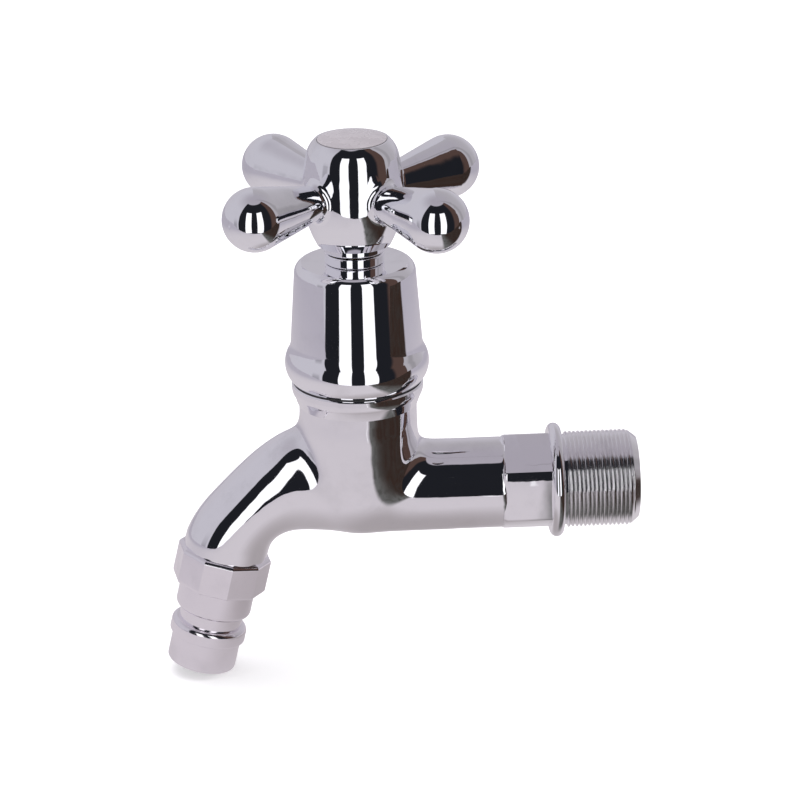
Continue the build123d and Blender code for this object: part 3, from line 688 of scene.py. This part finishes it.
def barrel_rim():
    """Flared rim at the top of the barrel, with a small step under it."""
    shape = bmesh.new()
    flare = arc_points((flare_middle, flare_height), flare_radius, flare_start, 0, flare_steps)
    spread = flare_middle + flare_radius
    outline = [(mouth_radius, mouth_floor), (rim_foot_radius, mouth_floor)]
    outline += [(rim_foot_radius, neck_height - rim_lift), (rim_step_radius, neck_height)]
    outline += [(x * rim_radius / spread, z + rim_lift) for x, z in flare[1:]]
    outline += [(rim_radius, rim_top - rim_edge), (rim_radius - rim_edge, rim_top), (mouth_radius, rim_top)]
    spin_outline(shape, [(axis_x + x, 0.0, z) for x, z in outline], barrel_line, up, rim_steps)
    add_piece(shape, "barrel_rim", "tap", casting_chrome, sharp_angle=40.0)


barrel_rim()

# %% [markdown]
# ## Casting: spanner hexagon
# A spanner holds the tap by six flats next to the wall. A six-sided prism gives the flats, and a bevel
# softens its long corners and then, wider, its inner end, as a file and the polishing wheel do.

# %% Inlet hexagon
collar_width = 0.0028
hex_flats = 0.0191
hex_start = -0.0134
corner_rounding = 0.0005
corner_steps = 3
end_rounding = 0.0013
end_steps = 6
touch = 0.00001


def bevel(shape, edges, width, segments):
    """Round a set of edges."""
    bmesh.ops.bevel(
        shape,
        geom=edges,
        offset=width,
        offset_type="OFFSET",
        affect="EDGES",
        segments=segments,
        profile=0.5,
        material=-1,
        clamp_overlap=True,
    )


def inlet_hexagon():
    """Spanner hexagon on the tube, with soft corners and a rounded inner end."""
    shape = bmesh.new()
    length = -collar_width / 2 - hex_start
    turn = Matrix.Rotation(pi / 2, 4, "Y") @ Matrix.Rotation(pi / 6, 4, "Z")
    corner = hex_flats / 2 / cos(pi / 6)
    bmesh.ops.create_cone(
        shape,
        cap_ends=True,
        segments=6,
        radius1=corner,
        radius2=corner,
        depth=length,
        matrix=Matrix.Translation((hex_start + length / 2, 0.0, 0.0)) @ turn,
    )
    long_edges = [edge for edge in shape.edges if abs(edge.verts[0].co.x - edge.verts[1].co.x) > length / 2]
    bevel(shape, long_edges, corner_rounding, corner_steps)
    inner = [edge for edge in shape.edges if max(vertex.co.x for vertex in edge.verts) < hex_start + touch]
    bevel(shape, inner, end_rounding, end_steps)
    add_piece(shape, "inlet_hexagon", "tap", casting_chrome, sharp_angle=50.0)


inlet_hexagon()

# %% [markdown]
# ## Casting: collar and groove
# The collar stops against the wall plate and has a full round edge. Beside it the thread ends in a
# short groove, where the cutting tool ran out. Both are outlines that go round the inlet's axis.

# %% Collar and groove at the wall
pipe_radius = 0.0104775
thread_depth = 0.00062
groove_end = 0.0007
collar_radius = 0.0124
collar_steps = 20
core_radius = 0.0080
groove_sink = 0.0001
groove_start = -0.0005
pipe_steps = 160


def spin_at_inlet(outline, name):
    """Spin an outline of distances and radii about the inlet's axis."""
    shape = bmesh.new()
    spin_outline(shape, [(x, 0.0, radius) for x, radius in outline], inlet_line, outward, pipe_steps)
    add_piece(shape, name, "tap", casting_chrome, sharp_angle=40.0)


def inlet_collar():
    """Round collar that meets the wall plate, with a full round edge."""
    half = collar_width / 2
    edge = arc_points((-half, collar_radius - half), half, 180, 0, collar_steps)
    spin_at_inlet([(-collar_width, core_radius)] + edge + [(0.0, core_radius)], "inlet_collar")


def inlet_groove():
    """Short turned groove between the collar and the first thread."""
    floor = pipe_radius - thread_depth - groove_sink
    end = groove_end + groove_sink
    outline = [(groove_start, core_radius), (groove_start, floor), (end, floor), (end, core_radius)]
    spin_at_inlet(outline, "inlet_groove")


inlet_collar()
inlet_groove()

# %% [markdown]
# ## Casting: threaded pipe end
# A thread could be drawn as a stack of rings, but each line of a real one climbs by one pitch in a turn,
# and that shows at both ends. The spin operator takes a step along the axis with every step of the turn,
# so one pitch of the profile draws the true helix. Plating fills the sharp roots and rounds the crests,
# so the profile is shallow and blunt, with a high ridge and a lower one.

# %% Profile of one pitch
pitch = 0.0018143
profile_places = (0.0, 0.06, 0.12, 0.20, 0.30, 0.38, 0.44, 0.50, 0.56, 0.62, 0.70, 0.80, 0.88, 0.94, 1.0)
profile_heights = (0.0, 0.10, 0.55, 1.0, 1.0, 0.62, 0.22, 0.12, 0.22, 0.58, 0.90, 0.90, 0.50, 0.10, 0.0)


def thread_profile():
    """One pitch of the blunt plated thread, as distances along the axis and radii."""
    root = pipe_radius - thread_depth
    return [(pitch * x, root + thread_depth * z) for x, z in zip(profile_places, profile_heights)]


print("points in a pitch:", len(thread_profile()))

# %% [markdown]
# The helix starts before the groove and runs on past the pipe's end, and two cuts give it flat ends. The
# first turns at the tip lie under a cone, as if chamfered, so that the thread finds its way in.

# %% Thread, cut and chamfered
thread_turns = 12
steps_per_turn = 72
turns_before = 2.0
pipe_length = 0.0164
chamfer_length = 0.002
chamfer_slope = 0.8
thread_merge = 0.000004
cut_distance = 0.000001


def thread_helix(shape):
    """Helical thread, longer than the pipe end."""
    start = -turns_before * pitch
    corners = [shape.verts.new((start + x, 0.0, radius)) for x, radius in thread_profile()]
    edges = [shape.edges.new(pair) for pair in zip(corners, corners[1:])]
    bmesh.ops.spin(
        shape,
        geom=corners + edges,
        cent=inlet_line,
        axis=outward,
        dvec=(pitch / steps_per_turn, 0.0, 0.0),
        angle=2 * pi * thread_turns,
        steps=thread_turns * steps_per_turn,
        use_merge=False,
    )
    bmesh.ops.remove_doubles(shape, verts=shape.verts, dist=thread_merge)


def cut_ends(shape):
    """Cut the helix off at the groove and at the pipe's end."""
    for place, side in ((groove_end, -1), (pipe_length, 1)):
        bmesh.ops.bisect_plane(
            shape,
            geom=shape.verts[:] + shape.edges[:] + shape.faces[:],
            dist=cut_distance,
            plane_co=(place, 0, 0),
            plane_no=(side, 0, 0),
            clear_outer=True,
        )


def chamfer_tip(shape):
    """Push everything near the pipe's end in under a cone."""
    for vertex in shape.verts:
        radius = (vertex.co.y**2 + vertex.co.z**2) ** 0.5
        limit = pipe_radius - chamfer_slope * max(0.0, vertex.co.x - (pipe_length - chamfer_length))
        if radius > limit:
            vertex.co.y *= limit / radius
            vertex.co.z *= limit / radius


# %% [markdown]
# The pipe is open. The loop of edges at its end is extruded three times: in over the flat end, down a
# small chamfer and along the bore. A cap far inside and one at the groove close the mesh.

# %% Bore and pipe end
pipe_bore = 0.0065
bore_chamfer = 0.0003
bore_depth = 0.0150
tip_band = 0.0001


def open_bore(shape):
    """Flat end, chamfer and bore, extruded from the edge loop at the pipe's end."""
    rims = [edge for edge in shape.edges if edge.is_boundary]
    loop = [edge for edge in rims if min(vertex.co.x for vertex in edge.verts) > pipe_length - tip_band]
    tip_radius = pipe_radius - chamfer_slope * chamfer_length
    mouth = pipe_bore + bore_chamfer
    for ratio, shift in ((mouth / tip_radius, 0.0), (pipe_bore / mouth, -bore_chamfer), (1.0, -bore_depth)):
        fresh = bmesh.ops.extrude_edge_only(shape, edges=loop)["geom"]
        loop = [item for item in fresh if isinstance(item, bmesh.types.BMEdge)]
        moved = [item for item in fresh if isinstance(item, bmesh.types.BMVert)]
        bmesh.ops.scale(shape, vec=(1.0, ratio, ratio), verts=moved)
        bmesh.ops.translate(shape, vec=(shift, 0.0, 0.0), verts=moved)
    bmesh.ops.holes_fill(shape, edges=[edge for edge in shape.edges if edge.is_boundary], sides=0)


def threaded_pipe():
    """Pipe end: helical thread with flat ends, chamfered tip and open bore."""
    shape = bmesh.new()
    thread_helix(shape)
    cut_ends(shape)
    chamfer_tip(shape)
    open_bore(shape)
    add_piece(shape, "threaded_pipe", "tap", thread_chrome, sharp_angle=50.0)


threaded_pipe()

# %% [markdown]
# ## Stage: floor for the camera
# The photograph has a white ground, but the plating shows a pale table with things on it. One surface
# can't be both, so there are two. This one is seen by the camera and catches the tap's soft shadow. It
# glows a little, so that it comes out as white as the background, and reflections leave it out.

# %% Pale floor
floor_level = solid_box[0][2] - 0.0002
floor_size = 9.0
floor_white = 0.95
floor_glow = 0.45


def level_sheet(name, width, depth, middle, height, material):
    """Flat level rectangle that belongs to the stage."""
    mesh = bpy.data.meshes.new(name)
    shape = bmesh.new()
    bmesh.ops.create_grid(shape, x_segments=1, y_segments=1, size=1.0)
    bmesh.ops.scale(shape, vec=(width / 2, depth / 2, 1.0), verts=shape.verts)
    bmesh.ops.translate(shape, vec=(middle[0], middle[1], height), verts=shape.verts)
    shape.to_mesh(mesh)
    shape.free()
    mesh.materials.append(material)
    sheet = bpy.data.objects.new(name, mesh)
    bpy.context.scene.collection.objects.link(sheet)
    print(name, "is", width, "by", depth, "metres, at height", round(height, 4))
    return sheet


def matt_material(name):
    """New material without shine; returns it with its tree and shader."""
    material, tree, shader = new_material(name)
    shader.inputs["Roughness"].default_value = 0.9
    shader.inputs["Specular IOR Level"].default_value = 0.0
    return material, tree, shader


def pale_floor():
    """Wide pale floor that the camera sees; the plating shows the table instead."""
    material, tree, shader = matt_material("floor_finish")
    shader.inputs["Base Color"].default_value = (floor_white, floor_white, floor_white, 1.0)
    shader.inputs["Emission Color"].default_value = (floor_glow, floor_glow, floor_glow, 1.0)
    shader.inputs["Emission Strength"].default_value = 1.0
    floor = level_sheet("pale_floor", floor_size, floor_size, (axis_x, 0.0), floor_level, material)
    floor.visible_glossy = False


pale_floor()

# %% [markdown]
# ## Stage: table for the plating
# This one is seen in reflections only. Its front edge is close to the tap, and the plating shows that
# edge as a level line. The cloth has painted light: a painted pool of light near the tap that fades to
# duller cloth far off, and a painted shadow under the tube. Its right half in front of the tap is dark,
# which gives the barrel the dark band at its right.

# %% Cloth of the table, with painted light and shadow
table_edge = -0.19
table_depth = 2.12
table_width = 4.0
table_gap = 0.0001
tube_middle = -0.030
# The first two cloth colours paint a pool of light near the tap that fades far off; the third is a painted
# shadow under the tube.
cloth_painted_lit = (0.73, 0.70, 0.715)
cloth_painted_dim = (0.52, 0.50, 0.55)
cloth_painted_shadow = (0.46, 0.43, 0.43)


def distance_from(tree, vector, x):
    """Distance of the surface from a point under the tap."""
    point = {1: (x, 0.0, floor_level)}
    node = add_node(tree, "ShaderNodeVectorMath", point, operation="DISTANCE")
    link(tree, vector, node.inputs[0])
    return node.outputs["Value"]


def cloth_with_painted_light(tree, vector):
    """Colour of the cloth with painted light: lit near the tap, duller far off, painted shadow under the
    tube.
    """
    far = smooth_step(tree, distance_from(tree, vector, axis_x), low=0.10, high=0.38)
    cloth = mix_colour(tree, far, cloth_painted_lit, cloth_painted_dim)
    # Painted shadow: the cloth darkens round the point under the tube.
    beside = smooth_step(tree, distance_from(tree, vector, tube_middle), low=0.010, high=0.062)
    return mix_colour(tree, beside, cloth_painted_shadow, cloth)


# %% Dark half of the table
patch_near = (0.16, 0.165, 0.155)
patch_far = (0.042, 0.026, 0.020)
patch_speck = (0.05, 0.045, 0.04)
speck_share = 0.5
patch_slant = 0.07
patch_shift = 0.0091
edge_white = (1.0, 1.0, 1.0)


def patch_colour(tree, vector, right_of):
    """Colour of the dark half: grey at its left, brown further right, with specks."""
    depth = smooth_step(tree, right_of, low=0.004, high=0.060)
    speck = smooth_step(tree, noise(tree, vector, scale=60.0, detail=2.0), low=0.35, high=0.65)
    dark = mix_colour(tree, depth, patch_near, patch_far)
    return mix_colour(tree, maths(tree, "MULTIPLY", speck, speck_share), dark, patch_speck)


def mirrored_table():
    """Table as the plating shows it: cloth with painted light and shadow, a dark half and a white side
    line.
    """
    material, tree, shader = matt_material("table_finish")
    place = add_node(tree, "ShaderNodeTexCoord")
    vector = place.outputs["Object"]
    axes = add_node(tree, "ShaderNodeSeparateXYZ")
    link(tree, vector, axes.inputs[0])
    along, across = axes.outputs["X"], axes.outputs["Y"]
    toward = maths(tree, "MULTIPLY", across, -1.0)
    slant = maths(tree, "MULTIPLY_ADD", across, patch_slant, patch_shift)
    right = smooth_step(tree, maths(tree, "ADD", along, slant), low=-0.002, high=0.012)
    front = smooth_step(tree, toward, low=-0.010, high=0.012)
    dark = patch_colour(tree, vector, along)
    top = mix_colour(tree, maths(tree, "MULTIPLY", right, front), cloth_with_painted_light(tree, vector), dark)
    away = smooth_step(tree, toward, low=0.150, high=0.165)
    line = window(tree, along, low=-0.0055, high=-0.0015, soft=0.0015)
    top = mix_colour(tree, maths(tree, "MULTIPLY", line, away), top, edge_white)
    link(tree, top, shader.inputs["Base Color"])
    middle = (axis_x, table_edge + table_depth / 2)
    table = level_sheet("table_top", table_width, table_depth, middle, floor_level - table_gap, material)
    table.visible_camera = False
    table.visible_diffuse = False
    table.visible_shadow = False


mirrored_table()

# %% [markdown]
# ## Light: the tent
# The tap stood in a pale light tent that was open towards the camera. The plating shows all of it: the
# lavender-grey walls, the dark opening in front, and two upright white lamps in that opening. Panels
# could be placed round the object, but here the surroundings are drawn on the world from the direction
# alone, as azimuth round the object and height above level, both in degrees. Azimuth 0 is towards the
# camera, and it grows to the right.

# %% Directions as two angles
degrees_per_radian = 180 / pi


def sky_angles(tree):
    """Azimuth and height, in degrees, of the direction in which the world is seen."""
    place = add_node(tree, "ShaderNodeTexCoord")
    axes = add_node(tree, "ShaderNodeSeparateXYZ")
    link(tree, place.outputs["Generated"], axes.inputs[0])
    toward = maths(tree, "MULTIPLY", axes.outputs["Y"], -1.0)
    turned = maths(tree, "ARCTAN2", axes.outputs["X"], toward)
    raised = maths(tree, "ARCSINE", axes.outputs["Z"])
    azimuth = maths(tree, "MULTIPLY", turned, degrees_per_radian)
    height = maths(tree, "MULTIPLY", raised, degrees_per_radian)
    return azimuth, height


# %% [markdown]
# The walls are cloth, a little darker to the right, overhead and low down, and pale again low behind
# the tap. They have a fold at the left and a crease at the right, which show as soft grey stripes on
# round plating.

# %% Walls of the tent
wall_left = (0.56, 0.545, 0.60)
wall_right = (0.43, 0.41, 0.44)
wall_overhead = (0.40, 0.375, 0.425)
wall_low = (0.46, 0.44, 0.47)
wall_behind = (0.55, 0.53, 0.58)
fold_grey = (0.20, 0.19, 0.22)
fold_share = 0.55
crease_grey = (0.22, 0.21, 0.22)
crease_share = 0.45


def tent_walls(tree, azimuth, height):
    """Colour of the cloth walls by direction."""
    side = smooth_step(tree, azimuth, low=-40.0, high=110.0)
    wall = mix_colour(tree, side, wall_left, wall_right)
    wall = mix_colour(tree, smooth_step(tree, height, low=35.0, high=85.0), wall, wall_overhead)
    depth = maths(tree, "MULTIPLY", height, -1.0)
    wall = mix_colour(tree, smooth_step(tree, depth, low=5.0, high=60.0), wall, wall_low)
    fold = window(tree, azimuth, low=-77.0, high=-64.0, soft=2.5)
    below = maths(tree, "SUBTRACT", 1.0, smooth_step(tree, height, low=-5.0, high=15.0))
    fold = maths(tree, "MULTIPLY", fold, below)
    wall = mix_colour(tree, maths(tree, "MULTIPLY", fold, fold_share), wall, fold_grey)
    behind = smooth_step(tree, maths(tree, "ABSOLUTE", azimuth), low=112.0, high=150.0)
    low = maths(tree, "SUBTRACT", 1.0, smooth_step(tree, height, low=4.0, high=45.0))
    wall = mix_colour(tree, maths(tree, "MULTIPLY", behind, low), wall, wall_behind)
    crease = window(tree, azimuth, low=93.0, high=104.0, soft=3.0)
    return mix_colour(tree, maths(tree, "MULTIPLY", crease, crease_share), wall, crease_grey)


# %% [markdown]
# The opening is nearly black, with a brown edge at its right. The two lamps are brighter than white, so
# that they still read as white after the plating has taken its share.

# %% Opening and lamps
opening_dark = (0.013, 0.014, 0.018)
opening_brown = (0.085, 0.052, 0.044)
lamp_white = (1.25, 1.25, 1.28)
lamp_spans = ((-32.5, -11.5), (10.0, 31.0))


def dark_opening(tree, azimuth, height, wall):
    """Dark opening towards the camera, brown at its right edge, cut into the walls."""
    across = window(tree, azimuth, low=-59.0, high=83.0, soft=0.8)
    upright = window(tree, height, low=-40.0, high=70.0, soft=1.5)
    brown = smooth_step(tree, azimuth, low=56.0, high=64.0)
    inside = mix_colour(tree, brown, opening_dark, opening_brown)
    return mix_colour(tree, maths(tree, "MULTIPLY", across, upright), wall, inside)


def upright_lamps(tree, azimuth, height, around):
    """Two upright white lamps, drawn over the opening."""
    lamps = maths(tree, "ADD", *[window(tree, azimuth, *span, soft=0.6) for span in lamp_spans])
    lamps = maths(tree, "MULTIPLY", lamps, window(tree, height, low=-30.0, high=41.0, soft=1.0))
    return mix_colour(tree, lamps, around, lamp_white)


# %% [markdown]
# The camera itself has to see a plain white ground. The world therefore asks which kind of ray is
# looking: camera rays get white, and all others get the tent.

# %% Tent as the world


def tent_world():
    """Surroundings by direction, and white for the camera itself."""
    world = bpy.data.worlds.new("light_tent")
    world.use_nodes = True
    tree = world.node_tree
    tree.nodes.clear()
    output = add_node(tree, "ShaderNodeOutputWorld")
    azimuth, height = sky_angles(tree)
    colour = tent_walls(tree, azimuth, height)
    colour = dark_opening(tree, azimuth, height, colour)
    colour = upright_lamps(tree, azimuth, height, colour)
    tent = add_node(tree, "ShaderNodeBackground", {"Strength": 1.0})
    link(tree, colour, tent.inputs["Color"])
    ground = add_node(tree, "ShaderNodeBackground", {"Color": (1.0, 1.0, 1.0, 1.0), "Strength": 1.0})
    path = add_node(tree, "ShaderNodeLightPath")
    choose = add_node(tree, "ShaderNodeMixShader")
    link(tree, path.outputs["Is Camera Ray"], choose.inputs[0])
    link(tree, tent.outputs[0], choose.inputs[1])
    link(tree, ground.outputs[0], choose.inputs[2])
    link(tree, choose.outputs[0], output.inputs["Surface"])
    bpy.context.scene.world = world
    print("world nodes:", len(tree.nodes))


tent_world()

# %% [markdown]
# ## Light: overhead panel
# The tent alone leaves the table dull in the reflections. A soft square light overhead brightens it and
# gives the floor the tap's shadow. It doesn't show in the plating or to the camera.

# %% Overhead panel


def soft_panel(name, place, aim, size, power):
    """Square soft light that isn't mirrored in the plating."""
    lamp = bpy.data.lights.new(name, "AREA")
    lamp.size = size
    lamp.energy = power
    panel = bpy.data.objects.new(name, lamp)
    panel.location = place
    panel.rotation_euler = (Vector(aim) - Vector(place)).to_track_quat("-Z", "Y").to_euler()
    panel.visible_glossy = False
    panel.visible_camera = False
    bpy.context.scene.collection.objects.link(panel)
    print(name, "of", power, "watts at", place)


soft_panel("overhead_panel", place=(-0.04, 0.05, 0.75), aim=(-0.04, 0.0, 0.0), size=0.9, power=5.0)

# %% [markdown]
# ## Camera
# The view looks along +Y from 21 degrees above level, 3 degrees to the left of square on, with a long
# lens, and the frame is turned by 1.1 degrees. One known point, where the barrel's axis meets the
# inlet's axis, fixes where the picture sits, so the camera is worked out from the pixel of that point.

# %% Camera of the photograph
frame_pixels = 800
sensor_width = 36.0
nearest = 0.01
barrel_pixel = (360, 487)


def photo_camera(azimuth, elevation, roll, distance, pixels_per_mm, anchor, pixel):
    """Camera whose frame shows the anchor at a pixel, at a distance in millimetres."""
    turn, rise, tilt = radians(azimuth), radians(elevation), radians(roll)
    forward = Vector((-sin(turn) * cos(rise), cos(turn) * cos(rise), -sin(rise)))
    level_right = Vector((cos(turn), sin(turn), 0.0))
    level_up = level_right.cross(forward)
    right = level_right * cos(tilt) - level_up * sin(tilt)
    top = level_right * sin(tilt) + level_up * cos(tilt)
    across = (pixel[0] - frame_pixels / 2) / pixels_per_mm
    above = (frame_pixels / 2 - pixel[1]) / pixels_per_mm
    spot = Vector(anchor) - (right * across + top * above + forward * distance) / mm_per_metre
    lens = bpy.data.cameras.new("photo_camera")
    lens.sensor_width = sensor_width
    lens.lens = sensor_width * pixels_per_mm * distance / frame_pixels
    lens.clip_start = nearest
    camera = bpy.data.objects.new("photo_camera", lens)
    turned = Matrix((right, top, -forward)).transposed()
    camera.matrix_world = Matrix.Translation(spot) @ turned.to_4x4()
    bpy.context.scene.collection.objects.link(camera)
    bpy.context.scene.camera = camera
    print("camera at", [round(value, 4) for value in spot], "lens", round(lens.lens, 1))


photo_camera(
    azimuth=-3.0,
    elevation=21.0,
    roll=1.1,
    distance=800.0,
    pixels_per_mm=4.61,
    anchor=barrel_line,
    pixel=barrel_pixel,
)
bpy.context.scene.view_settings.view_transform = "Standard"

# %% [markdown]
# ## Size
# The box of the solids is printed. The dressed model has to stay within the box of the
# solids.

# %% Box of the solids
print("solids:", solid_box)
